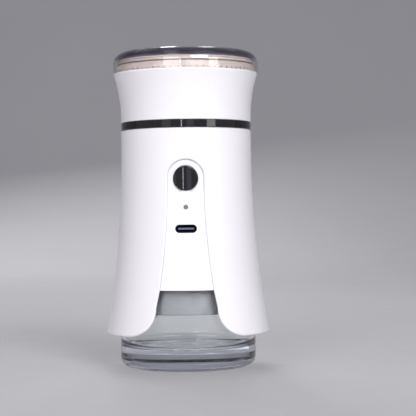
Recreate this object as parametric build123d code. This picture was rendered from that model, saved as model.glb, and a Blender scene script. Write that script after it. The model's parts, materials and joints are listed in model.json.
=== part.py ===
from build123d import *
import math
import os

# Rechargeable tabletop grinder with a glass catch jar, in millimetres.
# The origin is the centre of the jar's foot, +Z is up and the control panel faces -Y.
#
# From the bottom up: a glass jar under a flared white body (motor, cells, board and chute),
# a black waist ring, and a lift-off head with the metal grinding chamber under a clear cap.

# ---------------------------------------------------------------- driving dimensions
# Heights of the outside
LEG_BOTTOM_Z = 15.0
PANEL_BOTTOM_Z = 35.0
BODY_TOP_Z = 104.3
HEAD_BOTTOM_Z = 107.8
HEAD_TOP_Z = 129.5
CAP_TOP_Z = 139.8

# Body side: one large arc, narrowest at the waist
WAIST_R = 28.85
BODY_WAIST_Z = 98.0
BODY_ARC_R = 480.0
WALL = 2.0
EDGE_R = 0.7
LEDGE_THICK = 1.5
LEDGE_IN_R = 28.5

# Head side: a tighter arc that flares to the rim, round a stepped bore
HEAD_WAIST_Z = 109.5
HEAD_ARC_R = 66.0
HEAD_BORE_R = 26.9
HEAD_CONE_Z = 126.0
HEAD_SEAT_Z = 128.0
HEAD_SEAT_R = 29.7

# Glass jar
JAR_R = 30.0
JAR_WALL = 1.9
JAR_TOP_Z = 39.0
JAR_FLOOR_Z = 9.0
JAR_FOOT_IN_R = 21.5
JAR_FOOT_OUT_R = 26.6
JAR_PUNT = 0.9

# Collar that plugs into the jar, and its seal
COLLAR_LOW_Z = 24.2
COLLAR_IN_R = 25.8
COLLAR_OUT_R = 27.3
SEAL_Z = 37.0

# Controls on the front panel, heights of their centres
BUTTON_Z = 82.6
BUTTON_R = 5.2
BUTTON_GAP = 0.2
BUTTON_FRONT = 29.2
DISH_R = 6.6
DISH_FRONT = 28.25
DISH_DEPTH = 0.8
LIGHT_Z = 70.3
LIGHT_R = 1.05
USB_Z = 61.1
USB_SHELL_W = 8.94
USB_SHELL_H = 3.26
USB_BORE_W = 8.34
USB_BORE_H = 2.56
USB_GAP = 0.15
USB_MOUTH = 28.55

# Front panel outline: a round top that widens downwards
PANEL_ARCH_R = 7.66
PANEL_ARCH_Z = 83.0
PANEL_MID_HALF_W = 8.58
PANEL_MID_Z = 59.0
PANEL_BOTTOM_HALF_W = 11.4
PANEL_GAP = 0.04
PANEL_WALL = 1.5
PANEL_DEPTHS = (0.35, 0.75, 1.25)

# Arch between the two legs, cut through the front and the back
ARCH_CURVE_R = 12.4
ARCH_CURVE_X = 25.4
ARCH_CURVE_Z = 27.4

# Frame inside the body
DECK_LOW_Z = 39.5
DECK_LOW_TOP_Z = 42.0
DECK_LOW_R = 29.8
DECK_HIGH_Z = 101.6
DECK_HIGH_R = 26.5
POST_RADIUS = 22.5
POST_R = 2.6
POST_ANGLES = (45, 135, 225, 315)
PLATE_R = 25.8
PLATE_THICK = 2.0

# Board behind the panel: distances in front of the Z axis, and heights
BOARD_FRONT = 20.4
BOARD_THICK = 1.2
BOARD_BACK = BOARD_FRONT - BOARD_THICK
BOARD_LOW_Z = 46.0
BOARD_HIGH_Z = 94.0
BOARD_HALF_W = 12.0
BOARD_SCREW_X = 10.0
BOARD_SCREW_ZS = (49.0, 91.0)

# Cells and leads
CELL_X = 19.0
CELL_R = 7.05
CELL_LOW_Z = 44.6
CELL_HIGH_Z = 93.6
CELL_TIP_R = 2.6
CELL_TIP = 0.8
TAB_THICK = 0.2
TAB_HALF_W = 2.5
LEAD_R = 0.6
LEAD_END_Y = -(BOARD_BACK - 0.5)

# Gearmotor
MOTOR_R = 11.0
MOTOR_LOW_Z = 52.0
MOTOR_HIGH_Z = 79.0
MOTOR_CAP_THICK = 1.6
TAG_X = 4.5
MOTOR_SHAFT_R = 1.0
GEARBOX_HIGH_Z = 95.0
GEARBOX_PLATE_Z = 93.0
GEARBOX_SCREW_RADIUS = 8.6

# Chute behind the motor, a bent slot about the Z axis
CHUTE_IN_R = 14.5
CHUTE_OUT_R = 24.5
CHUTE_HALF_DEG = 33.0
CHUTE_WALL = 1.0
CHUTE_WALL_DEG = 3.0

# Planetary gears: 12-tooth sun, 18-tooth planets and 48-tooth ring give 5 to 1
MODULE = 0.4
SUN_TEETH = 12
PLANET_TEETH = 18
RING_TEETH = 48
PLANET_ANGLES = (90, 210, 330)
GEAR_LOW_Z = 82.0
GEAR_HIGH_Z = 88.0
SUN_LOW_Z = GEAR_LOW_Z - 0.5
PRESSURE_ANGLE = math.radians(20)
ADDENDUM = 0.8 * MODULE
DEDENDUM = 1.15 * MODULE
BACKLASH = 0.05
FLANK_SHARES = (0.0, 0.35, 0.7, 1.0)
PIN_R = 1.0

# Magnets and pegs between body and head
PAD_TOP_Z = 106.2
MAGNET_R = 3.0
MAGNET_THICK = 1.5
MAGNET_GAP = 0.05
PEG_R = 2.0
PEG_TOP_Z = 107.3

# Shafts through the head
SHAFT_R = 2.5
THREAD_R = 2.0
RUNNING = 0.03
HEX_HALF_W = 2.5
HEX_LOW_Z = 98.0
HEX_HIGH_Z = 103.2

# Head floor and grinding chamber
BASE_LOW_Z = 106.3
COLLECTOR_FLOOR_Z = 108.3
SIEVE_Z = 112.5
SIEVE_THICK = 0.6
SIEVE_HOLE_R = 1.25
SIEVE_ROWS = ((12, 8.0), (18, 11.5), (24, 15.0), (30, 18.5), (36, 22.0))
CHAMBER_R = 24.7
CUP_R = 26.6
CUP_TEETH = 12
BEARING_LOW_Z = 104.8
BEARING_HIGH_Z = 108.8
SHAFT_SEAL_Z = 109.2
BOSS_TOP_Z = 110.2
SWEEPER_TOP_Z = 112.0
BLADE_LOW_Z = 113.8
BLADE_HIGH_Z = 116.0
NUT_LOW_Z = 119.4

# Rings and cap above the head
CAP_R = 32.4
CAP_BORE_R = 31.2
RING_R = 30.95
RING_SPLIT_Z = 132.8
RING_TOP_Z = 134.9
RING_BORE_R = 28.6
SPIGOT_R = 28.3
LID_SEAL_Z = 132.2
NOTCHES = 72

# Cutting tools: how far they run past the face they open, past any radius, and from where in front
PAST = 2.0
REACH = 45.0
BEHIND_PANEL = 20.0

# Two lengths closer than this count as the same
SAME = 0.02

PARTS = "parts"


# ---------------------------------------------------------------- helpers
def disc(radius, low, high, at=(0, 0)):
    """An upright cylinder from height low to height high."""
    return Pos(at[0], at[1], low) * extrude(Circle(radius), high - low)


def tube(outer, inner, low, high, at=(0, 0)):
    """An upright tube from height low to height high."""
    return Pos(at[0], at[1], low) * extrude(Circle(outer) - Circle(inner), high - low)


def hexagon(half_width, low, high):
    """An upright hexagonal bar on the Z axis, half_width from its axis to each flat."""
    outline = RegularPolygon(half_width, 6, major_radius=False)
    return Pos(0, 0, low) * extrude(outline, high - low)


def block(x0, x1, y0, y1, z0, z1):
    """A box between two corners."""
    centre = ((x0 + x1) / 2, (y0 + y1) / 2, (z0 + z1) / 2)
    return Pos(*centre) * Box(x1 - x0, y1 - y0, z1 - z0)


def spun(*edges):
    """The closed outline of (radius, height) edges, turned about the Z axis."""
    return revolve(make_face(Plane.XZ * Curve(list(edges))), Axis.Z)


def spun_polygon(*points):
    """A polygon of (radius, height) points, turned about the Z axis."""
    return revolve(Plane.XZ * make_face(Polyline(*points, close=True)), Axis.Z)


def towards_front(sketch, near, far):
    """A sketch in X and Z, made solid between two distances in front of the Z axis."""
    return extrude(Plane.XZ.offset(near) * sketch, far - near)


def front_disc(radius, height, near, far, x=0.0):
    """A cylinder that points to the front, between two distances in front of the Z axis."""
    return towards_front(Pos(x, height) * Circle(radius), near, far)


def at_angle(degrees, radius):
    """The point at that angle and radius about the Z axis, as (x, y)."""
    turn = math.radians(degrees)
    return (radius * math.cos(turn), radius * math.sin(turn))


def joined(pieces):
    """Several solids kept apart in one node."""
    return Compound(children=pieces)


def body_radius(z):
    """Outside radius of the body at a height."""
    return WAIST_R + BODY_ARC_R - math.sqrt(BODY_ARC_R**2 - (z - BODY_WAIST_Z) ** 2)


def head_radius(z):
    """Outside radius of the head at a height."""
    rise = max(0.0, z - HEAD_WAIST_Z)
    return WAIST_R + HEAD_ARC_R - math.sqrt(HEAD_ARC_R**2 - rise**2)


def crown_arc(radius, edge_z, top_z):
    """A shallow arc from (radius, edge_z) to the Z axis, level where it meets the axis."""
    rise = top_z - edge_z
    sphere_r = (radius**2 + rise**2) / (2 * rise)
    halfway_z = top_z - sphere_r + math.sqrt(sphere_r**2 - (radius / 2) ** 2)
    return ThreePointArc((radius, edge_z), (radius / 2, halfway_z), (0, top_z))


def side_arc(radius_at, low, high, inset=0.0):
    """The arc of a side between two heights, moved inwards by inset."""
    middle = (low + high) / 2
    points = [(radius_at(z) - inset, z) for z in (low, middle, high)]
    return ThreePointArc(*points)


def body_layer(low, high, outer_inset, inner_inset):
    """A turned layer between two depths below the body's outside."""
    outside = side_arc(body_radius, low, high, outer_inset)
    inside = side_arc(body_radius, low, high, inner_inset)
    return spun(outside, inside, Line(outside @ 0, inside @ 0), Line(outside @ 1, inside @ 1))


def slot_sector(inner, outer, half_deg, low, high):
    """A bent slot about the Z axis, centred on the back, between two heights."""
    far = outer * 2
    edge = math.radians(90 - half_deg)
    corner = (far * math.cos(edge), far * math.sin(edge))
    wedge = make_face(Polyline((0, 0), corner, (-corner[0], corner[1]), close=True))
    return Pos(0, 0, low) * extrude((Circle(outer) - Circle(inner)) & wedge, high - low)


def chute_slot(low, high):
    """The chute's own passage between two heights."""
    return slot_sector(CHUTE_IN_R, CHUTE_OUT_R, CHUTE_HALF_DEG, low, high)


# ---------------------------------------------------------------- places of repeated pieces
def post_places():
    """The (x, y) places of the chassis posts."""
    return [at_angle(angle, POST_RADIUS) for angle in POST_ANGLES]


def board_screw_places():
    """The (x, z) places of the board's four screws."""
    return [(side * BOARD_SCREW_X, z) for side in (-1, 1) for z in BOARD_SCREW_ZS]


def gearbox_screw_places():
    """The (x, y) places of the gearbox's front screws."""
    return [at_angle(angle, GEARBOX_SCREW_RADIUS) for angle in (0, 90, 180, 270)]


def magnet_places():
    """The (x, y) places of the three magnet pairs between body and head."""
    return [at_angle(angle, 16.5) for angle in (0, 180, 270)]


def peg_places():
    """The (x, y) places of the two pegs that stop the head from turning."""
    return [at_angle(angle, 21.3) for angle in (247.5, 292.5)]


# ---------------------------------------------------------------- jar
def jar_glass():
    """Thick-bottomed straight glass with a rounded rim, foot ring and shallow punt."""
    bore = JAR_R - JAR_WALL
    punt_slope = 4.0
    heel_in = 1.0
    heel_low_z = 1.3
    heel_high_z = 3.6
    floor_fillet = 3.4
    rim_fillet = 0.7
    heel_fillet = 1.2
    shell = spun_polygon(
        (0, JAR_PUNT),
        (JAR_FOOT_IN_R - punt_slope, JAR_PUNT),
        (JAR_FOOT_IN_R, 0),
        (JAR_FOOT_OUT_R, 0),
        (JAR_R - heel_in, heel_low_z),
        (JAR_R, heel_high_z),
        (JAR_R, JAR_TOP_Z),
        (bore, JAR_TOP_Z),
        (bore, JAR_FLOOR_Z),
        (0, JAR_FLOOR_Z),
    )
    circles = shell.edges().filter_by(GeomType.CIRCLE)
    near_floor = [e for e in circles if abs(e.center().Z - JAR_FLOOR_Z) < SAME]
    shell = fillet(near_floor, floor_fillet)
    circles = shell.edges().filter_by(GeomType.CIRCLE)
    rim = [e for e in circles if abs(e.center().Z - JAR_TOP_Z) < SAME]
    low_circles = [e for e in circles if e.center().Z < heel_high_z + SAME]
    heel = [e for e in low_circles if e.radius > JAR_FOOT_OUT_R + heel_in]
    return fillet(rim, rim_fillet).fillet(heel_fillet, heel)


# ---------------------------------------------------------------- body outside
def panel_outline(grow=0.0):
    """Outline of the control panel in X and Z, grown outwards by grow."""
    arch_r = PANEL_ARCH_R + grow
    middle = PANEL_MID_HALF_W + grow
    bottom = PANEL_BOTTOM_HALF_W + grow
    edges = [
        ThreePointArc((-arch_r, PANEL_ARCH_Z), (0, PANEL_ARCH_Z + arch_r), (arch_r, PANEL_ARCH_Z)),
        ThreePointArc((arch_r, PANEL_ARCH_Z), (middle, PANEL_MID_Z), (bottom, PANEL_BOTTOM_Z)),
        Line((bottom, PANEL_BOTTOM_Z), (-bottom, PANEL_BOTTOM_Z)),
        ThreePointArc((-bottom, PANEL_BOTTOM_Z), (-middle, PANEL_MID_Z), (-arch_r, PANEL_ARCH_Z)),
    ]
    return make_face(Curve(edges))


def arch_outline():
    """Outline of the arch between the legs in X and Z, open at the bottom."""
    low = LEG_BOTTOM_Z - PAST
    side_x = ARCH_CURVE_X - ARCH_CURVE_R
    curve_low = ARCH_CURVE_Z - ARCH_CURVE_R
    slant = ARCH_CURVE_R * math.sqrt(0.5)
    mid = (ARCH_CURVE_X - slant, ARCH_CURVE_Z - slant)
    half = [
        Line((PANEL_BOTTOM_HALF_W, PANEL_BOTTOM_Z), (side_x, ARCH_CURVE_Z)),
        ThreePointArc((side_x, ARCH_CURVE_Z), mid, (ARCH_CURVE_X, curve_low)),
        Line((ARCH_CURVE_X, curve_low), (ARCH_CURVE_X, low)),
    ]
    other = [edge.mirror(Plane.YZ) for edge in half]
    top = Line((-PANEL_BOTTOM_HALF_W, PANEL_BOTTOM_Z), (PANEL_BOTTOM_HALF_W, PANEL_BOTTOM_Z))
    bottom = Line((-ARCH_CURVE_X, low), (ARCH_CURVE_X, low))
    return make_face(Curve([*half, *other, top, bottom]))


def on_outside(edge):
    """True for an edge that lies wholly on the body's outside surface."""
    for share in (0.1, 0.5, 0.9):
        p = edge.position_at(share)
        if abs(math.hypot(p.X, p.Y) - body_radius(p.Z)) > SAME:
            return False
    return True


def lower_housing():
    """Flared body shell with two legs, two arches and an inner ledge for the lower deck."""
    shell = body_layer(LEG_BOTTOM_Z, BODY_TOP_Z, 0.0, WALL)
    ledge_top = DECK_LOW_TOP_Z + LEDGE_THICK
    ledge_out_r = body_radius(ledge_top) - WALL / 2
    shell += tube(ledge_out_r, LEDGE_IN_R, DECK_LOW_TOP_Z, ledge_top)
    openings = panel_outline() + arch_outline()
    shell -= extrude(Plane.XZ * openings, REACH, both=True)
    return fillet([e for e in shell.edges() if on_outside(e)], EDGE_R)


def control_panel():
    """Curved panel that fills the opening above an arch, set deepest at its round top."""
    low = PANEL_BOTTOM_Z
    high = PANEL_ARCH_Z + PANEL_ARCH_R
    heights = (low, (low + high) / 2, high)
    spots = [(body_radius(z) - depth, z) for z, depth in zip(heights, PANEL_DEPTHS)]
    face = ThreePointArc(*spots)
    back = ThreePointArc(*[(radius - PANEL_WALL, z) for radius, z in spots])
    layer = spun(face, back, Line(face @ 0, back @ 0), Line(face @ 1, back @ 1))
    return layer & towards_front(panel_outline(-PANEL_GAP), BEHIND_PANEL, REACH)


def front_panel():
    """Control panel with its holes, and a shallow dish round the button."""
    panel = control_panel()
    panel -= front_disc(BUTTON_R + BUTTON_GAP, BUTTON_Z, BEHIND_PANEL, REACH)
    panel -= button_dish()
    panel -= front_disc(LIGHT_R, LIGHT_Z, BEHIND_PANEL, REACH)
    slot = SlotOverall(USB_SHELL_W + 2 * USB_GAP, USB_SHELL_H + 2 * USB_GAP)
    return panel - towards_front(Pos(0, USB_Z) * slot, BEHIND_PANEL, REACH)


def button_dish():
    """The cone that sinks the panel a little round the button's hole."""
    hole_r = BUTTON_R + BUTTON_GAP
    middle = -(DISH_FRONT - DISH_DEPTH / 2)
    return Pos(0, middle, BUTTON_Z) * Rot(90, 0, 0) * Cone(hole_r, DISH_R, DISH_DEPTH)


def rear_panel():
    """Plain panel above the rear arch."""
    return mirror(control_panel(), Plane.XZ)


def waist_ring():
    """Gloss trim ring between body and head, with a ledge that sits on the upper deck."""
    bore = 26.45
    ledge_in_r = 24.7
    ledge_top = BODY_TOP_Z + 1.0
    ring = tube(WAIST_R, bore, BODY_TOP_Z, HEAD_BOTTOM_Z)
    outside = [e for e in ring.edges().filter_by(GeomType.CIRCLE) if e.radius > bore + 1]
    ring = chamfer(outside, 0.25)
    return ring + tube(bore + 0.15, ledge_in_r, BODY_TOP_Z, ledge_top)


# ---------------------------------------------------------------- controls
def button_cap():
    """Push button with a face curved about a vertical axis, and a stem to its switch."""
    face_curve_r = 19.0
    back = 25.9
    stem_end = 25.0
    stem_r = 1.6
    overlap = 0.3
    rim_fillet = 0.35
    cap = front_disc(BUTTON_R, BUTTON_Z, back, BUTTON_FRONT + PAST)
    dome = Pos(0, face_curve_r - BUTTON_FRONT, BUTTON_Z) * Cylinder(face_curve_r, 3 * BUTTON_R)
    cap &= dome
    rim = cap.edges().sort_by(Axis.Y)[0]
    cap = fillet(rim, rim_fillet)
    return cap + front_disc(stem_r, BUTTON_Z, stem_end, back + overlap)


def button_spring():
    """Flat return spring ring behind the button's rim."""
    outer = 4.4
    inner = 3.0
    back = 24.4
    thick = 0.4
    ring = Pos(0, BUTTON_Z) * (Circle(outer) - Circle(inner))
    return towards_front(ring, back, back + thick)


def tact_switch():
    """Square tactile switch on the board behind the button."""
    side = 6.0
    case_front = 23.4
    plunger_r = 1.5
    plunger_front = 23.9
    case = towards_front(Pos(0, BUTTON_Z) * Rectangle(side, side), BOARD_FRONT, case_front)
    return case + front_disc(plunger_r, BUTTON_Z, case_front, plunger_front)


def light_pipe():
    """Clear rod that brings the indicator's light to the panel's face."""
    foot = 22.0
    foot_r = 1.7
    foot_thick = 1.0
    face = 28.75
    rod = front_disc(LIGHT_R - RUNNING, LIGHT_Z, foot, face)
    return rod + front_disc(foot_r, LIGHT_Z, foot, foot + foot_thick)


def indicator_led():
    """Small surface-mount indicator on the board."""
    width = 1.6
    height = 0.9
    thick = 0.7
    return towards_front(Pos(0, LIGHT_Z) * Rectangle(width, height), BOARD_FRONT, BOARD_FRONT + thick)


def usb_shell():
    """Drawn shell of the USB-C socket, open at the front."""
    end_wall = 1.0
    outside = Pos(0, USB_Z) * SlotOverall(USB_SHELL_W, USB_SHELL_H)
    inside = Pos(0, USB_Z) * SlotOverall(USB_BORE_W, USB_BORE_H)
    shell = towards_front(outside, BOARD_FRONT, USB_MOUTH)
    return shell - towards_front(inside, BOARD_FRONT + end_wall, USB_MOUTH)


def usb_tongue():
    """Contact tongue in the middle of the USB-C socket."""
    width = 6.69
    thick = 0.7
    root = BOARD_FRONT + 1.0
    set_back = 0.9
    return towards_front(Pos(0, USB_Z) * Rectangle(width, thick), root, USB_MOUTH - set_back)


# ---------------------------------------------------------------- board, cells and leads
def main_board():
    """Control and charging board, upright behind the front panel."""
    corner = 1.0
    screw_hole_r = 1.1
    outline = RectangleRounded(2 * BOARD_HALF_W, BOARD_HIGH_Z - BOARD_LOW_Z, corner)
    outline = Pos(0, (BOARD_LOW_Z + BOARD_HIGH_Z) / 2) * outline
    for x, z in board_screw_places():
        outline -= Pos(x, z) * Circle(screw_hole_r)
    return towards_front(outline, BOARD_BACK, BOARD_FRONT)


def board_parts():
    """Chips and passives on the back of the board: (x, z, width, height, depth) each."""
    places = (
        (-4.0, 64.0, 5.0, 5.0, 1.0),
        (4.5, 64.0, 4.0, 4.0, 0.9),
        (0.0, 73.0, 6.0, 6.0, 3.0),
        (-6.5, 80.0, 3.2, 1.6, 1.2),
        (6.5, 80.0, 3.2, 1.6, 1.2),
        (0.0, 84.0, 5.0, 6.2, 1.6),
    )
    pieces = []
    for x, z, width, height, depth in places:
        outline = Pos(x, z) * Rectangle(width, height)
        pieces.append(towards_front(outline, BOARD_BACK - depth, BOARD_BACK))
    return joined(pieces)


def board_screws():
    """Four pan-head screws that hold the board to the chassis."""
    head_r = 1.9
    head_thick = 1.3
    shank_r = 0.95
    shank_long = 4.0
    drive_deep = 0.6
    pieces = []
    for x, z in board_screw_places():
        head_front = BOARD_FRONT + head_thick
        head = front_disc(head_r, z, BOARD_FRONT, head_front, x)
        shank = front_disc(shank_r, z, BOARD_FRONT - shank_long, BOARD_FRONT, x)
        drive = towards_front(Pos(x, z) * Rectangle(2.4, 0.5), head_front - drive_deep, head_front + PAST)
        pieces.append(head + shank - drive)
    return joined(pieces)


def battery_cells():
    """Two upright cells, one each side of the motor."""
    rim_fillet = 0.6
    pieces = []
    for x in (-CELL_X, CELL_X):
        can = disc(CELL_R, CELL_LOW_Z, CELL_HIGH_Z, (x, 0))
        can = fillet(can.edges().filter_by(GeomType.CIRCLE), rim_fillet)
        pieces.append(can + disc(CELL_TIP_R, CELL_HIGH_Z, CELL_HIGH_Z + CELL_TIP, (x, 0)))
    return joined(pieces)


def battery_tabs():
    """Welded nickel tabs at both ends of each cell, longer below for the leads."""
    reach_y = 5.0
    lead_y = -8.4
    top = CELL_HIGH_Z + CELL_TIP
    pieces = []
    for x in (-CELL_X, CELL_X):
        side = (x - TAB_HALF_W, x + TAB_HALF_W)
        pieces.append(block(*side, -reach_y, reach_y, top, top + TAB_THICK))
        pieces.append(block(*side, lead_y, reach_y, CELL_LOW_Z - TAB_THICK, CELL_LOW_Z))
    return joined(pieces)


def lead(points, bends):
    """A round insulated lead along filleted straight runs."""
    path = FilletPolyline(*points, radius=bends)
    return sweep(Plane(origin=path @ 0, z_dir=path % 0) * Circle(LEAD_R), path)


def motor_leads():
    """Two leads from the motor's tags to the board."""
    pieces = []
    for x in (-TAG_X, TAG_X):
        points = [(x, -1.2, 48.6), (x, -6.0, 46.6), (x, -12.0, 47.4), (x, LEAD_END_Y, 52.6)]
        pieces.append(lead(points, [3.5, 3.5]))
    return joined(pieces)


def battery_leads():
    """Two leads from the cells' lower tabs to the board."""
    pieces = []
    for side in (-1, 1):
        points = [(side * 17.5, -7.9, 45.25), (side * 13.6, -11.5, 48.2), (side * 8.0, LEAD_END_Y, 58.4)]
        pieces.append(lead(points, [3.0]))
    return joined(pieces)


# ---------------------------------------------------------------- frame inside the body
def chassis():
    """Four posts and a plate that carry the gearmotor, the board and both decks."""
    shaft_hole_r = 4.6
    pilot_r = 1.0
    low_pilot = 8.0
    high_pilot = 4.0
    screw_hole_r = 1.1
    duct_gap = 0.15
    duct_edge_deg = CHUTE_HALF_DEG + CHUTE_WALL_DEG + 2.0
    cell_window_r = 3.4
    plate_top = GEARBOX_HIGH_Z + PLATE_THICK
    cut = (GEARBOX_HIGH_Z - PAST, plate_top + PAST)
    frame = disc(PLATE_R, GEARBOX_HIGH_Z, plate_top) - disc(shaft_hole_r, *cut)
    for place in post_places():
        frame += disc(POST_R, DECK_LOW_TOP_Z, DECK_HIGH_Z, place)
    frame = add_board_lugs(frame)
    for place in post_places():
        frame -= disc(pilot_r, DECK_LOW_TOP_Z, DECK_LOW_TOP_Z + low_pilot, place)
        frame -= disc(pilot_r, DECK_HIGH_Z - high_pilot, DECK_HIGH_Z, place)
    for place in gearbox_screw_places():
        frame -= disc(screw_hole_r, *cut, place)
    inner = CHUTE_IN_R - CHUTE_WALL - duct_gap
    frame -= slot_sector(inner, PLATE_R + PAST, duct_edge_deg, *cut)
    for x in (-CELL_X, CELL_X):
        frame -= disc(cell_window_r, *cut, (x, 0))
    return frame


def add_board_lugs(frame):
    """The frame with four lugs behind the board, each bored for its screw."""
    near_x = 8.3
    far_x = 15.0
    lug_thick = 3.3
    half_h = 2.2
    bore_r = 0.95
    for x, z in board_screw_places():
        side = math.copysign(1, x)
        across = sorted((side * near_x, side * far_x))
        frame += block(*across, -BOARD_BACK, -(BOARD_BACK - lug_thick), z - half_h, z + half_h)
        frame -= front_disc(bore_r, z, BOARD_BACK - lug_thick - PAST, BOARD_BACK + PAST, x)
    return frame


def chute_duct():
    """Bent tube behind the motor that carries ground material down to the jar."""
    inner = CHUTE_IN_R - CHUTE_WALL
    outer = CHUTE_OUT_R + CHUTE_WALL
    half_deg = CHUTE_HALF_DEG + CHUTE_WALL_DEG
    duct = slot_sector(inner, outer, half_deg, DECK_LOW_TOP_Z, DECK_HIGH_Z)
    return duct - chute_slot(DECK_LOW_TOP_Z - PAST, DECK_HIGH_Z + PAST)


def lower_deck():
    """Plate that closes the body above the jar, with the chute's outlet and cell seats."""
    seat_out_r = 7.0
    seat_in_r = 5.6
    screw_hole_r = 1.2
    cut = (DECK_LOW_Z - PAST, DECK_LOW_TOP_Z + PAST)
    deck = disc(DECK_LOW_R, DECK_LOW_Z, DECK_LOW_TOP_Z)
    for x in (-CELL_X, CELL_X):
        deck += tube(seat_out_r, seat_in_r, DECK_LOW_TOP_Z, CELL_LOW_Z - TAB_THICK, (x, 0))
    deck -= chute_slot(*cut)
    for place in post_places():
        deck -= disc(screw_hole_r, *cut, place)
    return deck


def upper_deck():
    """Top plate of the body: chute inlet, shaft hole, magnet pads and locating pegs."""
    pad_r = 4.2
    shaft_hole_r = 5.6
    screw_hole_r = 1.2
    cut = (DECK_HIGH_Z - PAST, BODY_TOP_Z + PAST)
    pocket_low = PAD_TOP_Z - MAGNET_THICK - MAGNET_GAP
    deck = disc(DECK_HIGH_R, DECK_HIGH_Z, BODY_TOP_Z)
    for place in magnet_places():
        deck += disc(pad_r, BODY_TOP_Z, PAD_TOP_Z, place)
        deck -= disc(MAGNET_R + MAGNET_GAP, pocket_low, PAD_TOP_Z + PAST, place)
    for place in peg_places():
        deck += disc(PEG_R, BODY_TOP_Z, PEG_TOP_Z, place)
    deck -= disc(shaft_hole_r, *cut)
    deck -= chute_slot(*cut)
    for place in post_places():
        deck -= disc(screw_hole_r, *cut, place)
    return deck


def body_magnets():
    """Magnets set into the upper deck's pads."""
    return joined([disc(MAGNET_R, PAD_TOP_Z - MAGNET_THICK, PAD_TOP_Z, p) for p in magnet_places()])


def deck_screw(place, seat, reach, up):
    """A pan-head screw on height seat, with its shank to height reach; up is 1 or -1."""
    head_r = 2.0
    head_thick = 1.5
    shank_r = 0.98
    drive_deep = 0.7
    drive_half_w = 1.4
    drive_half_thick = 0.3
    head_end = seat + up * head_thick
    drive_end = head_end - up * drive_deep
    x, y = place
    head = disc(head_r, *sorted((seat, head_end)), place)
    shank = disc(shank_r, *sorted((seat, reach)), place)
    across = (x - drive_half_w, x + drive_half_w, y - drive_half_thick, y + drive_half_thick)
    return head + shank - block(*across, *sorted((head_end, drive_end)))


def upper_deck_screws():
    """Four screws that pull the upper deck down on the posts."""
    reach = DECK_HIGH_Z - 3.5
    return joined([deck_screw(place, BODY_TOP_Z, reach, 1) for place in post_places()])


def lower_deck_screws():
    """Four screws that pull the lower deck up on the posts."""
    reach = DECK_LOW_TOP_Z + 7.0
    return joined([deck_screw(place, DECK_LOW_Z, reach, -1) for place in post_places()])


def outlet_skirt():
    """Collar under the lower deck that plugs into the jar's mouth, grooved for the seal."""
    chamfer_size = 0.3
    groove_half_h = 0.7
    groove_r = COLLAR_OUT_R - 0.5
    return spun_polygon(
        (COLLAR_IN_R, COLLAR_LOW_Z),
        (COLLAR_OUT_R - chamfer_size, COLLAR_LOW_Z),
        (COLLAR_OUT_R, COLLAR_LOW_Z + chamfer_size),
        (COLLAR_OUT_R, SEAL_Z - groove_half_h),
        (groove_r, SEAL_Z - groove_half_h),
        (groove_r, SEAL_Z + groove_half_h),
        (COLLAR_OUT_R, SEAL_Z + groove_half_h),
        (COLLAR_OUT_R, DECK_LOW_Z),
        (COLLAR_IN_R, DECK_LOW_Z),
    )


def jar_seal():
    """Silicone ring in the collar's groove that grips the jar."""
    section_r = 0.6
    ring_r = 27.42
    return Pos(0, 0, SEAL_Z) * Torus(ring_r, section_r)


def rim_gasket():
    """Flat silicone ring that the jar's rim closes on."""
    outer = 29.7
    inner = 28.2
    return tube(outer, inner, JAR_TOP_Z, DECK_LOW_Z)


# ---------------------------------------------------------------- gears
def involute(angle):
    """The involute of an angle."""
    return math.tan(angle) - angle


def gear_outline(teeth, tip, root, slack):
    """Closed involute outline: tip and root radii, each tooth thinner by slack."""
    pitch_r = MODULE * teeth / 2
    base_r = pitch_r * math.cos(PRESSURE_ANGLE)
    half_pitch = (math.pi * MODULE / 2 - slack) / (2 * pitch_r)
    start = max(root, base_r)
    radii = [root] if root < base_r else []
    radii += [start + (tip - start) * share for share in FLANK_SHARES]

    def half_angle(radius):
        at = math.acos(min(1.0, base_r / max(radius, base_r)))
        return half_pitch + involute(PRESSURE_ANGLE) - involute(at)

    flank = [(radius, half_angle(radius)) for radius in radii]
    points = []
    for tooth in range(teeth):
        centre = 2 * math.pi * tooth / teeth
        rising = [(r, centre - a) for r, a in flank]
        falling = [(r, centre + a) for r, a in reversed(flank)]
        points += [(r * math.cos(a), r * math.sin(a)) for r, a in rising + falling]
    return make_face(Polyline(*points, close=True))


def outside_gear(teeth, bore, low, high, phase):
    """An outside gear with a round bore, its first tooth at angle phase."""
    pitch_r = MODULE * teeth / 2
    outline = gear_outline(teeth, pitch_r + ADDENDUM, pitch_r - DEDENDUM, BACKLASH)
    return Pos(0, 0, low) * extrude(Rot(0, 0, phase) * outline - Circle(bore), high - low)


def planet_centre(angle):
    """The (x, y) centre of the planet at that angle."""
    return at_angle(angle, MODULE * (SUN_TEETH + PLANET_TEETH) / 2)


def planet_phase(angle):
    """The angle of a planet's first tooth that meshes with a sun whose tooth is at 0."""
    share = (angle * SUN_TEETH / 360) % 1
    return angle + 180 + (share - 0.5) * 360 / PLANET_TEETH


def ring_phase():
    """The angle of a gap in the ring that takes the first planet's outer tooth."""
    angle = PLANET_ANGLES[0]
    step = 360 / PLANET_TEETH
    offset = (planet_phase(angle) - angle) % step
    return angle + offset * PLANET_TEETH / RING_TEETH


def sun_gear():
    """Pinion on the motor's shaft."""
    return outside_gear(SUN_TEETH, MOTOR_SHAFT_R, SUN_LOW_Z, GEAR_HIGH_Z, 0)


def planet_gear(angle):
    """One planet gear in its meshing position."""
    bore = PIN_R + 0.05
    gear = outside_gear(PLANET_TEETH, bore, GEAR_LOW_Z, GEAR_HIGH_Z, planet_phase(angle))
    x, y = planet_centre(angle)
    return Pos(x, y, 0) * gear


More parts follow.
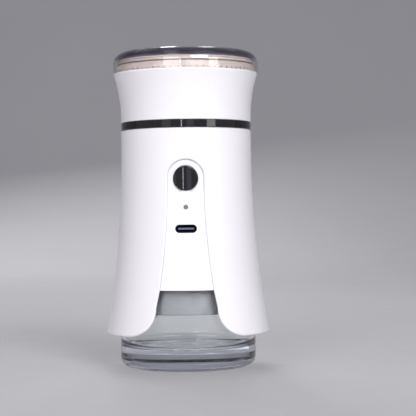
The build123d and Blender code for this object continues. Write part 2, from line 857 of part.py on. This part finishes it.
def gearbox_case():
    """Ring gear and front plate of the gearbox in one piece."""
    spigot_r = 10.2
    bore_r = 9.2
    ring_long = 11.5
    bush_r = 4.0
    pilot_r = 0.8
    pilot_low = GEARBOX_HIGH_Z - 1.6
    pitch_r = MODULE * RING_TEETH / 2
    case = disc(MOTOR_R, MOTOR_HIGH_Z, GEARBOX_HIGH_Z)
    case -= disc(spigot_r, MOTOR_HIGH_Z, SUN_LOW_Z)
    case -= disc(bore_r, MOTOR_HIGH_Z, GEARBOX_PLATE_Z)
    teeth = gear_outline(RING_TEETH, pitch_r + DEDENDUM, pitch_r - ADDENDUM, -BACKLASH)
    band = extrude(Rot(0, 0, ring_phase()) * teeth, ring_long)
    case -= Pos(0, 0, SUN_LOW_Z) * band
    case -= disc(bush_r, GEARBOX_PLATE_Z - PAST, GEARBOX_HIGH_Z + PAST)
    for place in gearbox_screw_places():
        case -= disc(pilot_r, pilot_low, GEARBOX_HIGH_Z + PAST, place)
    return case


def gearbox_screws():
    """Four screws through the chassis plate into the gearbox."""
    head_r = 1.6
    head_thick = 1.0
    shank_r = 0.78
    reach = GEARBOX_HIGH_Z - 1.4
    seat = GEARBOX_HIGH_Z + PLATE_THICK
    pieces = []
    for place in gearbox_screw_places():
        head = disc(head_r, seat, seat + head_thick, place)
        pieces.append(head + disc(shank_r, reach, seat, place))
    return joined(pieces)


def output_bush():
    """Bronze bush for the output shaft."""
    outer = 4.0
    return tube(outer, SHAFT_R + RUNNING, GEARBOX_PLATE_Z, GEARBOX_HIGH_Z + 0.6)


def planet_carrier():
    """Carrier disc with planet pins and the output shaft, hexagonal at its top."""
    disc_r = 8.3
    disc_low = GEAR_HIGH_Z + 0.3
    disc_high = 90.5
    pin_low = GEAR_LOW_Z - 0.2
    carrier = disc(disc_r, disc_low, disc_high)
    for angle in PLANET_ANGLES:
        carrier += disc(PIN_R, pin_low, disc_low, planet_centre(angle))
    carrier += disc(SHAFT_R, disc_high, HEX_LOW_Z)
    return carrier + hexagon(HEX_HALF_W, HEX_LOW_Z, HEX_HIGH_Z)


def motor_can():
    """Steel can of the motor, with its front boss."""
    rim_fillet = 0.8
    boss_r = 4.5
    bore_r = MOTOR_SHAFT_R + 0.2
    bore_low = 60.0
    boss_top = MOTOR_HIGH_Z + 1.2
    can = disc(MOTOR_R, MOTOR_LOW_Z, MOTOR_HIGH_Z)
    low_rim = can.edges().filter_by(GeomType.CIRCLE).sort_by(Axis.Z)[0]
    can = fillet(low_rim, rim_fillet) + disc(boss_r, MOTOR_HIGH_Z, boss_top)
    return can - disc(bore_r, bore_low, boss_top + PAST)


def motor_cap():
    """Plastic end cap of the motor with its two tags."""
    cap_r = 9.6
    tag_half_w = 1.3
    tag_half_thick = 0.25
    tag_low = 48.0
    cap_low = MOTOR_LOW_Z - MOTOR_CAP_THICK
    cap = disc(cap_r, cap_low, MOTOR_LOW_Z)
    for x in (-TAG_X, TAG_X):
        across = (x - tag_half_w, x + tag_half_w, -tag_half_thick, tag_half_thick)
        cap += block(*across, tag_low, cap_low)
    return cap


def motor_shaft():
    """Motor shaft that carries the sun gear."""
    low = 60.5
    return disc(MOTOR_SHAFT_R, low, GEAR_HIGH_Z)


# ---------------------------------------------------------------- head
def upper_housing():
    """Flared head shell with a stepped bore for the grinding cup."""
    rim_fillet = 0.5
    foot_fillet = 0.3
    low = HEAD_BOTTOM_Z
    high = HEAD_TOP_Z
    outside = side_arc(head_radius, HEAD_WAIST_Z, high)
    corners = [
        (HEAD_SEAT_R, high),
        (HEAD_SEAT_R, HEAD_SEAT_Z),
        (HEAD_BORE_R, HEAD_CONE_Z),
        (HEAD_BORE_R, low),
        (WAIST_R, low),
    ]
    inside = Polyline(outside @ 1, *corners, outside @ 0)
    shell = spun(outside, *inside.edges())
    circles = shell.edges().filter_by(GeomType.CIRCLE)
    top = [e for e in circles if e.radius > HEAD_SEAT_R + 1 and e.center().Z > high - SAME]
    foot = [e for e in circles if e.radius > WAIST_R - SAME and e.center().Z < low + SAME]
    return fillet(top, rim_fillet).fillet(foot_fillet, foot)


def head_base():
    """Floor of the head: collector, shaft boss, outlet slot, magnet and peg pockets."""
    wall_in_r = 24.9
    wall_low = 107.9
    boss_r = 7.5
    boss_low = 104.6
    bearing_r = 5.0
    shoulder_r = 3.3
    seal_r = 4.4
    peg_pocket_r = PEG_R + 0.25
    peg_pocket_top = PEG_TOP_Z + 0.3
    pocket_top = BASE_LOW_Z + MAGNET_THICK + MAGNET_GAP
    base = disc(26.0, BASE_LOW_Z, COLLECTOR_FLOOR_Z)
    base += tube(HEAD_BORE_R - 0.2, wall_in_r, wall_low, SIEVE_Z)
    base += disc(boss_r, boss_low, BOSS_TOP_Z)
    base -= disc(bearing_r, boss_low - PAST, BEARING_HIGH_Z)
    base -= disc(shoulder_r, BEARING_HIGH_Z, BOSS_TOP_Z + PAST)
    base -= disc(seal_r, SHAFT_SEAL_Z, BOSS_TOP_Z + PAST)
    base -= chute_slot(BASE_LOW_Z - PAST, COLLECTOR_FLOOR_Z + 0.7)
    for place in magnet_places():
        base -= disc(MAGNET_R + MAGNET_GAP, BASE_LOW_Z - PAST, pocket_top, place)
    for place in peg_places():
        base -= disc(peg_pocket_r, BASE_LOW_Z - PAST, peg_pocket_top, place)
    return base


def head_magnets():
    """Magnets set into the underside of the head."""
    return joined([disc(MAGNET_R, BASE_LOW_Z, BASE_LOW_Z + MAGNET_THICK, p) for p in magnet_places()])


def rotor_bearing():
    """Ball bearing for the rotor shaft, with its races and balls as one unit."""
    outer_r = 5.0
    outer_race_in_r = 4.3
    inner_race_out_r = 3.2
    overlap = 0.1
    cage_half_h = 0.4
    ball_r = 0.85
    balls = 7
    ball_circle_r = (outer_race_in_r + inner_race_out_r) / 2
    mid = (BEARING_LOW_Z + BEARING_HIGH_Z) / 2
    unit = tube(outer_r, outer_race_in_r, BEARING_LOW_Z, BEARING_HIGH_Z)
    unit += tube(inner_race_out_r, SHAFT_R + RUNNING, BEARING_LOW_Z, BEARING_HIGH_Z)
    cage = (outer_race_in_r + overlap, inner_race_out_r - overlap)
    unit += tube(*cage, mid - cage_half_h, mid + cage_half_h)
    for count in range(balls):
        x, y = at_angle(count * 360 / balls, ball_circle_r)
        unit += Pos(x, y, mid) * Sphere(ball_r)
    return unit


def shaft_seal():
    """Silicone ring that keeps powder out of the bearing."""
    outer = 4.4
    return tube(outer, SHAFT_R + 2 * RUNNING, SHAFT_SEAL_Z, BOSS_TOP_Z)


def rotor_shaft():
    """Shaft from the hexagonal drive socket up to the rotor nut."""
    socket_r = 4.5
    socket_low = 98.8
    socket_high = 104.4
    socket_deep = 4.9
    thread_top = 122.0
    socket = disc(socket_r, socket_low, socket_high)
    socket -= hexagon(HEX_HALF_W + 0.1, socket_low, socket_low + socket_deep)
    return socket + disc(SHAFT_R, socket_high, NUT_LOW_Z) + disc(THREAD_R, NUT_LOW_Z, thread_top)


def sweeper():
    """Two-armed paddle that pushes ground material round to the outlet slot."""
    reach = 23.9
    half_thick = 1.2
    hub_r = 6.0
    hub_low = 110.6
    boss_clear_r = 8.2
    arm_low = COLLECTOR_FLOOR_Z + 0.4
    arms = block(-reach, reach, -half_thick, half_thick, arm_low, SWEEPER_TOP_Z)
    arms -= disc(boss_clear_r, arm_low - PAST, hub_low)
    arms += disc(hub_r, hub_low, SWEEPER_TOP_Z)
    return arms - disc(SHAFT_R, hub_low - PAST, SWEEPER_TOP_Z + PAST)


def sieve_plate():
    """Stainless plate of round holes between the chamber and the collector."""
    plate_r = 25.6
    shaft_hole_r = 3.4
    plate = Circle(plate_r) - Circle(shaft_hole_r)
    for count, radius in SIEVE_ROWS:
        for step in range(count):
            x, y = at_angle(step * 360 / count, radius)
            plate -= Pos(x, y) * Circle(SIEVE_HOLE_R)
    return Pos(0, 0, SIEVE_Z) * extrude(plate, SIEVE_THICK)


def grinding_cup():
    """Metal chamber wall with a ring of shearing teeth and a top flange."""
    flange_r = 29.5
    tooth_root_r = CHAMBER_R + 0.6
    tooth_tip_r = 22.9
    root_half_w = 1.9
    tip_half_w = 0.7
    tooth_high = 8.0
    low = SIEVE_Z + SIEVE_THICK
    cup = tube(CUP_R, CHAMBER_R, low, HEAD_SEAT_Z)
    cup += tube(flange_r, CHAMBER_R, HEAD_SEAT_Z, HEAD_TOP_Z)
    root = [(tooth_root_r, root_half_w), (tooth_root_r, -root_half_w)]
    tip = [(tooth_tip_r, -tip_half_w), (tooth_tip_r, tip_half_w)]
    tooth = make_face(Polyline(*root, *tip, close=True))
    for step in range(CUP_TEETH):
        turned = Rot(0, 0, (step + 0.5) * 360 / CUP_TEETH) * tooth
        cup += Pos(0, 0, low) * extrude(turned, tooth_high)
    return cup


def blade_rotor():
    """Four-armed steel rotor with upright cutting pegs and hooked tips."""
    arms = 4
    hub_r = 6.0
    peg_side = 2.5
    pegs = ((12.0, 121.5), (19.0, 120.0))
    sunk = 0.2
    leading = [(3.0, -3.2), (14.0, -2.4), (22.3, -3.4)]
    trailing = [(21.0, 2.2), (13.0, 2.0), (3.0, 3.2)]
    arm = make_face(Polyline(*leading, *trailing, close=True))
    rotor = disc(hub_r, BLADE_LOW_Z, NUT_LOW_Z)
    for step in range(arms):
        turn = Rot(0, 0, step * 360 / arms)
        rotor += Pos(0, 0, BLADE_LOW_Z) * extrude(turn * arm, BLADE_HIGH_Z - BLADE_LOW_Z)
        for radius, top in pegs:
            peg = Pos(radius, 0) * Rot(0, 0, 45) * Rectangle(peg_side, peg_side)
            low = BLADE_HIGH_Z - sunk
            rotor += Pos(0, 0, low) * extrude(turn * peg, top - low)
    return rotor - disc(SHAFT_R, BLADE_LOW_Z - PAST, NUT_LOW_Z + PAST)


def rotor_nut():
    """Domed cap nut that holds the rotor on its shaft."""
    half_w = 3.6
    hex_top = NUT_LOW_Z + 2.4
    dome_r = 3.7
    dome_centre = NUT_LOW_Z + 0.5
    bore_top = 122.0
    nut = hexagon(half_w, NUT_LOW_Z, hex_top)
    dome = Pos(0, 0, dome_centre) * Sphere(dome_r)
    nut += dome & disc(dome_r + 1, hex_top, dome_centre + dome_r + 1)
    return nut - disc(THREAD_R, NUT_LOW_Z - PAST, bore_top)


def chamber_ring():
    """Anodised ring on the chamber's rim, with a coin edge of small notches at its foot."""
    band_top = 130.6
    neck_r = 30.35
    top_r = 30.0
    neck_drop = 0.35
    step_z = 131.0
    step_r = 26.4
    notch_deep = 0.8
    notch_half_w = 0.34
    notch_low = 129.75
    notch_high = 130.4
    ring = spun_polygon(
        (CHAMBER_R, HEAD_TOP_Z),
        (RING_R, HEAD_TOP_Z),
        (RING_R, band_top),
        (neck_r, RING_SPLIT_Z - neck_drop),
        (top_r, RING_SPLIT_Z),
        (RING_BORE_R, RING_SPLIT_Z),
        (RING_BORE_R, step_z),
        (step_r, step_z),
    )
    across = (RING_R - notch_deep, RING_R + PAST, -notch_half_w, notch_half_w)
    notch = block(*across, notch_low, notch_high)
    return ring - [Rot(0, 0, step * 360 / NOTCHES) * notch for step in range(NOTCHES)]


# ---------------------------------------------------------------- cap
def lid_ring():
    """Anodised ring bonded inside the cap, grooved round its outside, with a spigot below."""
    bore_r = 27.2
    low = 131.4
    seal_r = SPIGOT_R - 0.4
    seal_half_h = 0.4
    foot_z = RING_SPLIT_Z + 0.4
    band_r = 30.35
    band_top = 133.75
    groove_r = 29.85
    groove_top = 134.3
    lip_r = 30.15
    bevel = 0.2
    return spun_polygon(
        (bore_r, low),
        (SPIGOT_R, low),
        (SPIGOT_R, LID_SEAL_Z - seal_half_h),
        (seal_r, LID_SEAL_Z - seal_half_h),
        (seal_r, LID_SEAL_Z + seal_half_h),
        (SPIGOT_R, LID_SEAL_Z + seal_half_h),
        (SPIGOT_R, foot_z),
        (band_r - bevel, foot_z),
        (band_r, foot_z + bevel),
        (band_r, band_top),
        (groove_r, band_top + bevel / 2),
        (groove_r, groove_top),
        (lip_r, groove_top + bevel / 2),
        (lip_r, RING_TOP_Z - bevel),
        (lip_r - bevel, RING_TOP_Z),
        (SPIGOT_R - bevel, RING_TOP_Z),
        (bore_r, RING_TOP_Z - 4 * bevel),
    )


def lid_seal():
    """Silicone ring on the lid ring's spigot that grips the chamber ring."""
    ring_r = 28.24
    section_r = 0.33
    return Pos(0, 0, LID_SEAL_Z) * Torus(ring_r, section_r)


def cap_lens():
    """Clear cap: thin skirt and rounded shoulder, a bonding rib and a thick crowned top."""
    corner = 5.6
    crown = 0.9
    under_top_z = 137.6
    under_edge = (24.5, 137.2)
    under_mid = (27.3, 136.5)
    rib_in_r = 28.4
    rib_out_r = 29.8
    side_z = CAP_TOP_Z - crown - corner
    centre_r = CAP_R - corner
    inner_corner = corner - (CAP_R - CAP_BORE_R)
    groove_turn = math.acos((rib_out_r - centre_r) / inner_corner)

    def on_corner(radius, turn):
        return (centre_r + radius * math.cos(turn), side_z + radius * math.sin(turn))

    top_edge = on_corner(corner, math.pi / 2)
    groove_top = on_corner(inner_corner, groove_turn)
    edges = [
        Line((CAP_BORE_R, HEAD_TOP_Z), (CAP_R, HEAD_TOP_Z)),
        Line((CAP_R, HEAD_TOP_Z), (CAP_R, side_z)),
        ThreePointArc((CAP_R, side_z), on_corner(corner, math.pi / 4), top_edge),
        crown_arc(*top_edge, CAP_TOP_Z),
        Line((0, CAP_TOP_Z), (0, under_top_z)),
        crown_arc(*under_edge, under_top_z),
        ThreePointArc(under_edge, under_mid, (rib_in_r, RING_TOP_Z)),
        Line((rib_in_r, RING_TOP_Z), (rib_out_r, RING_TOP_Z)),
        Line((rib_out_r, RING_TOP_Z), groove_top),
        ThreePointArc(groove_top, on_corner(inner_corner, groove_turn / 2), (CAP_BORE_R, side_z)),
        Line((CAP_BORE_R, side_z), (CAP_BORE_R, HEAD_TOP_Z)),
    ]
    return spun(*edges)


# ---------------------------------------------------------------- export
def all_parts():
    """Every node's name and shape."""
    nodes = {
        "jar_glass": jar_glass(),
        "lower_housing": lower_housing(),
        "front_panel": front_panel(),
        "rear_panel": rear_panel(),
        "waist_ring": waist_ring(),
        "button_cap": button_cap(),
        "button_spring": button_spring(),
        "tact_switch": tact_switch(),
        "light_pipe": light_pipe(),
        "indicator_led": indicator_led(),
        "usb_shell": usb_shell(),
        "usb_tongue": usb_tongue(),
        "main_board": main_board(),
        "board_parts": board_parts(),
        "board_screws": board_screws(),
        "battery_cells": battery_cells(),
        "battery_tabs": battery_tabs(),
        "motor_leads": motor_leads(),
        "battery_leads": battery_leads(),
        "chassis": chassis(),
        "chute_duct": chute_duct(),
        "lower_deck": lower_deck(),
        "lower_deck_screws": lower_deck_screws(),
        "upper_deck": upper_deck(),
        "upper_deck_screws": upper_deck_screws(),
        "body_magnets": body_magnets(),
        "outlet_skirt": outlet_skirt(),
        "jar_seal": jar_seal(),
        "rim_gasket": rim_gasket(),
        "motor_can": motor_can(),
        "motor_cap": motor_cap(),
        "motor_shaft": motor_shaft(),
        "sun_gear": sun_gear(),
        "gearbox_case": gearbox_case(),
        "gearbox_screws": gearbox_screws(),
        "output_bush": output_bush(),
        "planet_carrier": planet_carrier(),
        "upper_housing": upper_housing(),
        "head_base": head_base(),
        "head_magnets": head_magnets(),
        "rotor_bearing": rotor_bearing(),
        "shaft_seal": shaft_seal(),
        "rotor_shaft": rotor_shaft(),
        "sweeper": sweeper(),
        "sieve_plate": sieve_plate(),
        "grinding_cup": grinding_cup(),
        "blade_rotor": blade_rotor(),
        "rotor_nut": rotor_nut(),
        "chamber_ring": chamber_ring(),
        "lid_ring": lid_ring(),
        "lid_seal": lid_seal(),
        "cap_lens": cap_lens(),
    }
    for number, angle in enumerate(PLANET_ANGLES, start=1):
        nodes[f"planet_gear_{number}"] = planet_gear(angle)
    return nodes


os.makedirs(PARTS, exist_ok=True)
for name, shape in all_parts().items():
    export_step(shape, f"{PARTS}/{name}.step")
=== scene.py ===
import bpy
import bmesh
import math
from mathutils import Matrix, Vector
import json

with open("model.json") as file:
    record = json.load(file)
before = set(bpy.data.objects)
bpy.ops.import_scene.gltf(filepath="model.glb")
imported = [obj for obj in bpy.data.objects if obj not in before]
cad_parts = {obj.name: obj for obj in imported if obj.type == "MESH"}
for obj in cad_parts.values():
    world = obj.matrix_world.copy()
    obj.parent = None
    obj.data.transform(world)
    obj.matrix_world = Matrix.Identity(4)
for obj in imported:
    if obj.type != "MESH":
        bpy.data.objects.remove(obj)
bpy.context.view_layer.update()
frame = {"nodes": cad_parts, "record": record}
nodes = frame["nodes"]

# Blender works in metres. MM turns a length in millimetres into metres.
MM = 0.001

# The cap's plastic is clear. Above and outside this shoulder its colour is darkened as painted shade,
# standing in for the dark surroundings seen through it, in millimetres.
PAINTED_SHADE_LOW_Z, PAINTED_SHADE_HIGH_Z = 134.9, 135.7
PAINTED_SHADE_IN_R, PAINTED_SHADE_OUT_R = 22.0, 27.0


# ---------------------------------------------------------------- material helpers
class Shader:
    """A node-based material in the row frame's own coordinates, in metres."""

    def __init__(self, name, **constants):
        self.material = bpy.data.materials.new(name)
        self.material.use_nodes = True
        tree = self.material.node_tree
        self.nodes, self.links = tree.nodes, tree.links
        self.surface = self.nodes["Principled BSDF"]
        self.output = self.nodes["Material Output"]
        for socket, value in constants.items():
            self.surface.inputs[socket.replace("_", " ")].default_value = value
        self.place = self.nodes.new("ShaderNodeTexCoord").outputs["Object"]

    def noise(self, scale, detail=3.0, over=None):
        """Noise of that scale per metre, over the place or over other coordinates."""
        node = self.nodes.new("ShaderNodeTexNoise")
        node.inputs["Scale"].default_value = scale
        node.inputs["Detail"].default_value = detail
        self.links.new(over or self.place, node.inputs["Vector"])
        return node.outputs["Fac"]

    def split(self):
        """The place's three coordinates."""
        node = self.nodes.new("ShaderNodeSeparateXYZ")
        self.links.new(self.place, node.inputs[0])
        return node.outputs

    def radius(self):
        """Distance from the Z axis, in metres."""
        parts = self.split()
        flat = self.nodes.new("ShaderNodeCombineXYZ")
        self.links.new(parts["X"], flat.inputs["X"])
        self.links.new(parts["Y"], flat.inputs["Y"])
        node = self.nodes.new("ShaderNodeVectorMath")
        node.operation = "LENGTH"
        self.links.new(flat.outputs[0], node.inputs[0])
        return node.outputs["Value"]

    def between(self, value, low, high):
        """0 where a length in metres is below low and 1 where it is above high, in millimetres."""
        node = self.nodes.new("ShaderNodeMapRange")
        node.inputs["From Min"].default_value = low * MM
        node.inputs["From Max"].default_value = high * MM
        self.links.new(value, node.inputs["Value"])
        return node.outputs["Result"]

    def product(self, first, second):
        """Two grey values multiplied."""
        node = self.nodes.new("ShaderNodeMath")
        node.operation = "MULTIPLY"
        self.links.new(first, node.inputs[0])
        self.links.new(second, node.inputs[1])
        return node.outputs[0]

    def turned(self):
        """Coordinates that change mostly with radius and height, as lathe marks do."""
        drift = 0.01
        around = self.nodes.new("ShaderNodeVectorMath")
        around.operation = "SCALE"
        around.inputs["Scale"].default_value = drift
        self.links.new(self.place, around.inputs[0])
        joined = self.nodes.new("ShaderNodeCombineXYZ")
        self.links.new(self.radius(), joined.inputs["X"])
        self.links.new(self.split()["Z"], joined.inputs["Y"])
        total = self.nodes.new("ShaderNodeVectorMath")
        total.operation = "ADD"
        self.links.new(joined.outputs[0], total.inputs[0])
        self.links.new(around.outputs[0], total.inputs[1])
        return total.outputs[0]

    def ramp(self, factor, low, high, start=0.3, end=0.7):
        """Two colours or two grey values mixed by a factor."""
        node = self.nodes.new("ShaderNodeValToRGB")
        node.color_ramp.elements[0].position = start
        node.color_ramp.elements[1].position = end
        for element, value in zip(node.color_ramp.elements, (low, high)):
            grey = not isinstance(value, tuple)
            element.color = (value, value, value, 1.0) if grey else (*value, 1.0)
        self.links.new(factor, node.inputs["Fac"])
        return node.outputs["Color"]

    def colour(self, factor, low, high, **span):
        """Base colour between two colours, by a factor."""
        self.links.new(self.ramp(factor, low, high, **span), self.surface.inputs["Base Color"])
        return self

    def rough(self, factor, low, high):
        """Roughness between two values, by a factor."""
        self.links.new(self.ramp(factor, low, high), self.surface.inputs["Roughness"])
        return self

    def bump(self, factor, depth_mm):
        """Relief of that depth in millimetres."""
        node = self.nodes.new("ShaderNodeBump")
        node.inputs["Distance"].default_value = depth_mm * MM
        self.links.new(factor, node.inputs["Height"])
        self.links.new(node.outputs["Normal"], self.surface.inputs["Normal"])
        return self

    def absorb(self, colour, density):
        """Colour that deepens with the length of the path through the piece."""
        node = self.nodes.new("ShaderNodeVolumeAbsorption")
        node.inputs["Color"].default_value = (*colour, 1.0)
        node.inputs["Density"].default_value = density
        self.links.new(node.outputs[0], self.output.inputs["Volume"])
        return self


def moulded(name, dark, light, low=0.3, high=0.4, grain_mm=0.0015, grain=9000):
    """Moulded plastic: slight shade drift, satin patches and a fine grain."""
    s = Shader(name, IOR=1.5)
    s.colour(s.noise(60), dark, light)
    s.rough(s.noise(180, 4), low, high)
    return s.bump(s.noise(grain, 2), grain_mm)


def machined(name, dark, light, low=0.2, high=0.35, depth_mm=0.002, marks=9000, metal=1.0):
    """Turned metal: concentric tool marks and slight shade drift."""
    s = Shader(name, Metallic=metal)
    s.colour(s.noise(90), dark, light)
    lines = s.noise(marks, 2, s.turned())
    s.rough(lines, low, high)
    return s.bump(lines, depth_mm)


def brushed(name, dark, light, low=0.25, high=0.42, depth_mm=0.002):
    """Plain sheet or ground steel."""
    s = Shader(name, Metallic=1.0)
    s.colour(s.noise(120), dark, light)
    s.rough(s.noise(1600, 4), low, high)
    return s.bump(s.noise(5000, 3), depth_mm)


# The white's roughness stays above 0.28: a range that reached down to 0.27 rendered with patches.
WHITE = moulded("white_plastic", (0.850, 0.832, 0.868), (0.856, 0.838, 0.874), 0.285, 0.31, 0.0006, 2500)
BLACK = moulded("black_gloss", (0.008, 0.008, 0.010), (0.012, 0.011, 0.014), 0.03, 0.06, 0.0001)
GREY = moulded("grey_plastic", (0.19, 0.193, 0.21), (0.22, 0.223, 0.24), 0.45, 0.58, 0.002)
DARK = moulded("dark_plastic", (0.02, 0.02, 0.022), (0.035, 0.035, 0.038), 0.4, 0.55, 0.003)
GEAR = moulded("gear_plastic", (0.72, 0.70, 0.62), (0.78, 0.76, 0.68), 0.35, 0.5, 0.002)
SILICONE = moulded("silicone", (0.50, 0.51, 0.52), (0.56, 0.57, 0.58), 0.5, 0.65, 0.004)
CHAMPAGNE = machined(
    "champagne_metal", (0.44, 0.385, 0.36), (0.49, 0.43, 0.408), 0.42, 0.52, 0.0006, metal=0.25
)
CUP = machined("cup_metal", (0.55, 0.54, 0.53), (0.66, 0.65, 0.64), 0.22, 0.38, 0.004, 5000)
BLACK_METAL = brushed("black_metal", (0.012, 0.012, 0.014), (0.020, 0.020, 0.023), 0.3, 0.45)
TONGUE = moulded("tongue_plastic", (0.12, 0.15, 0.25), (0.15, 0.18, 0.29), 0.3, 0.4)
STEEL = brushed("steel", (0.50, 0.50, 0.51), (0.62, 0.62, 0.63))
BRONZE = brushed("bronze", (0.45, 0.28, 0.12), (0.58, 0.38, 0.18), 0.35, 0.55)
MAGNET = brushed("magnet_nickel", (0.60, 0.59, 0.56), (0.70, 0.69, 0.66), 0.1, 0.22, 0.0005)
BOARD = moulded("board_green", (0.012, 0.10, 0.04), (0.02, 0.14, 0.06), 0.25, 0.4, 0.004)
CELL = moulded("cell_wrap", (0.03, 0.12, 0.25), (0.04, 0.15, 0.30), 0.18, 0.28, 0.001)
LEAD_RED = moulded("lead_red", (0.40, 0.02, 0.015), (0.48, 0.03, 0.02), 0.35, 0.5, 0.002)
LEAD_BLACK = moulded("lead_black", (0.012, 0.012, 0.012), (0.02, 0.02, 0.02), 0.35, 0.5, 0.002)

GLASS = Shader("clear_glass", IOR=1.52, Transmission_Weight=1.0, Base_Color=(0.97, 0.99, 0.99, 1.0))
GLASS.rough(GLASS.noise(150, 3), 0.0, 0.02).bump(GLASS.noise(70, 2), 0.01).absorb((0.58, 0.64, 0.84), 9.0)
# Clear cap plastic with painted shade over the shoulder: its colour darkens there to stand in for the
# dark surroundings seen through the cap.
CAP_WITH_PAINTED_SHADE = Shader("smoked_plastic", IOR=1.49, Transmission_Weight=1.0)
above = CAP_WITH_PAINTED_SHADE.between(CAP_WITH_PAINTED_SHADE.split()["Z"], PAINTED_SHADE_LOW_Z, PAINTED_SHADE_HIGH_Z)
outside = CAP_WITH_PAINTED_SHADE.between(CAP_WITH_PAINTED_SHADE.radius(), PAINTED_SHADE_IN_R, PAINTED_SHADE_OUT_R)
# Painted shade: clear colour off the shoulder, dark colour on it.
CAP_WITH_PAINTED_SHADE.colour(CAP_WITH_PAINTED_SHADE.product(above, outside), (0.97, 0.96, 0.96), (0.31, 0.30, 0.38), start=0.0, end=1.0)
CAP_WITH_PAINTED_SHADE.rough(CAP_WITH_PAINTED_SHADE.noise(150, 3), 0.01, 0.04)
FROST = Shader("frosted_plastic", IOR=1.5, Transmission_Weight=0.5)
FROST.colour(FROST.noise(500), (0.28, 0.35, 0.47), (0.33, 0.41, 0.54)).rough(FROST.noise(900), 0.25, 0.4)

SLOTS = {
    "clear_glass": GLASS, "smoked_plastic": CAP_WITH_PAINTED_SHADE, "frosted_plastic": FROST, "white_plastic": WHITE,
    "black_gloss": BLACK, "grey_plastic": GREY, "dark_plastic": DARK, "gear_plastic": GEAR,
    "champagne_metal": CHAMPAGNE, "cup_metal": CUP, "steel": STEEL, "bronze": BRONZE,
    "magnet_nickel": MAGNET, "black_metal": BLACK_METAL, "tongue_plastic": TONGUE,
    "board_green": BOARD, "cell_wrap": CELL, "lead_red": LEAD_RED,
    "lead_black": LEAD_BLACK, "silicone": SILICONE,
}

slot_of = {s["node"]: s["material_slot"] for s in frame["record"]["subparts"]}
for name, obj in nodes.items():
    obj.data.materials.clear()
    obj.data.materials.append(SLOTS[slot_of[name]].material)
# Clear pieces cast no shadow, so that light reaches what is inside them.
for name in ("jar_glass", "cap_lens"):
    nodes[name].visible_shadow = False


# ---------------------------------------------------------------- stage, lights and camera
def area(name, place, aim, size, power, colour=(1.0, 1.0, 1.0)):
    """A rectangular soft light at a place, aimed at a point."""
    light = bpy.data.lights.new(name, "AREA")
    light.shape = "RECTANGLE"
    light.size, light.size_y = size
    light.energy = power
    light.color = colour
    obj = bpy.data.objects.new(name, light)
    obj.location = place
    obj.rotation_euler = (Vector(aim) - Vector(place)).to_track_quat("-Z", "Y").to_euler()
    bpy.context.scene.collection.objects.link(obj)
    return obj


# A paper sweep, in metres: flat in front, curved up behind, and just under the foot of the object.
FLOOR_HALF_W = 14.0
FLOOR_FRONT_Y = -14.0
WALL_Y = 1.6
WALL_TOP_Z = 2.6
SWEEP_R = 0.8
SWEEP_STEPS = 16
FLOOR_Z = -0.05 * MM

profile = [(FLOOR_FRONT_Y, FLOOR_Z)]
for k in range(SWEEP_STEPS + 1):
    turn = k / SWEEP_STEPS * math.pi / 2
    along = WALL_Y - SWEEP_R + SWEEP_R * math.sin(turn)
    up = FLOOR_Z + SWEEP_R - SWEEP_R * math.cos(turn)
    profile.append((along, up))
profile.append((WALL_Y, WALL_TOP_Z))

mesh = bpy.data.meshes.new("floor")
builder = bmesh.new()
rows = [[builder.verts.new((x, y, z)) for y, z in profile] for x in (-FLOOR_HALF_W, FLOOR_HALF_W)]
for k in range(len(profile) - 1):
    builder.faces.new((rows[0][k], rows[1][k], rows[1][k + 1], rows[0][k + 1]))
builder.to_mesh(mesh)
builder.free()
mesh.shade_smooth()
floor = bpy.data.objects.new("floor", mesh)
bpy.context.scene.collection.objects.link(floor)
paper = Shader("paper")
paper.colour(paper.noise(3), (0.54, 0.54, 0.56), (0.57, 0.57, 0.59)).rough(paper.noise(40), 0.6, 0.75)
mesh.materials.append(paper.material)

# Two large lights in front, narrowed so that they leave no hot spot on the floor, and one behind.
NARROW = math.radians(70)
key = area("key", (0.52, -1.18, 0.72), (0, 0, 0.06), (0.65, 0.65), 1.76)
key.data.spread = NARROW
fill = area("fill", (-0.50, -1.25, 0.40), (0, 0, 0.06), (0.6, 0.6), 1.25)
fill.data.spread = NARROW
fill.visible_glossy = False
back = area("back", (-0.25, 0.95, 0.60), (0, 0, 0.07), (0.6, 0.6), 4.0)
back.visible_glossy = False
back.visible_transmission = False
# Soft lights at the sides, and two lights that only show as reflections in glossy pieces.
area("soft_left", (-0.44, -0.67, 0.22), (0, 0, 0.11), (0.22, 0.30), 0.12)
area("soft_right", (0.57, -0.57, 0.22), (0, 0, 0.11), (0.22, 0.30), 0.75)
strip = area("strip", (-0.097, -0.80, 0.145), (0, 0, 0.125), (0.014, 0.19), 0.139)
strip.visible_diffuse = False
card = area("card", (0.11, -0.80, 0.145), (0, 0, 0.105), (0.16, 0.19), 0.063, (0.75, 0.80, 1.0))
card.visible_diffuse = False
# Small lights high behind, for the bright line along the cap's top edge.
for side in (-1, 1):
    area("edge", (side * 0.045, 0.39, 0.445), (0, 0, 0.138), (0.035, 0.02), 0.14)
area("edge_line", (0.0, 0.385, 0.465), (0, 0, 0.138), (0.34, 0.008), 0.08)

scene = bpy.context.scene
world = bpy.data.worlds.new("studio")
scene.world = world
world.use_nodes = True
background = world.node_tree.nodes["Background"]
background.inputs["Color"].default_value = (0.96, 0.93, 1.0, 1.0)
background.inputs["Strength"].default_value = 0.36

scene.view_settings.view_transform = "Standard"
scene.view_settings.look = "None"

# The camera looks along +Y at the front of the object, with a slight roll.
CAMERA_PLACE = (0.0094, -0.6, 0.0698)
CAMERA_ROLL = math.radians(0.66)

camera_data = bpy.data.cameras.new("camera")
camera_data.sensor_width = 36.0
camera_data.lens = 116.4
camera = bpy.data.objects.new("camera", camera_data)
camera.location = CAMERA_PLACE
camera.rotation_mode = "XYZ"
camera.rotation_euler = (math.pi / 2, CAMERA_ROLL, 0.0)
scene.collection.objects.link(camera)
scene.camera = camera
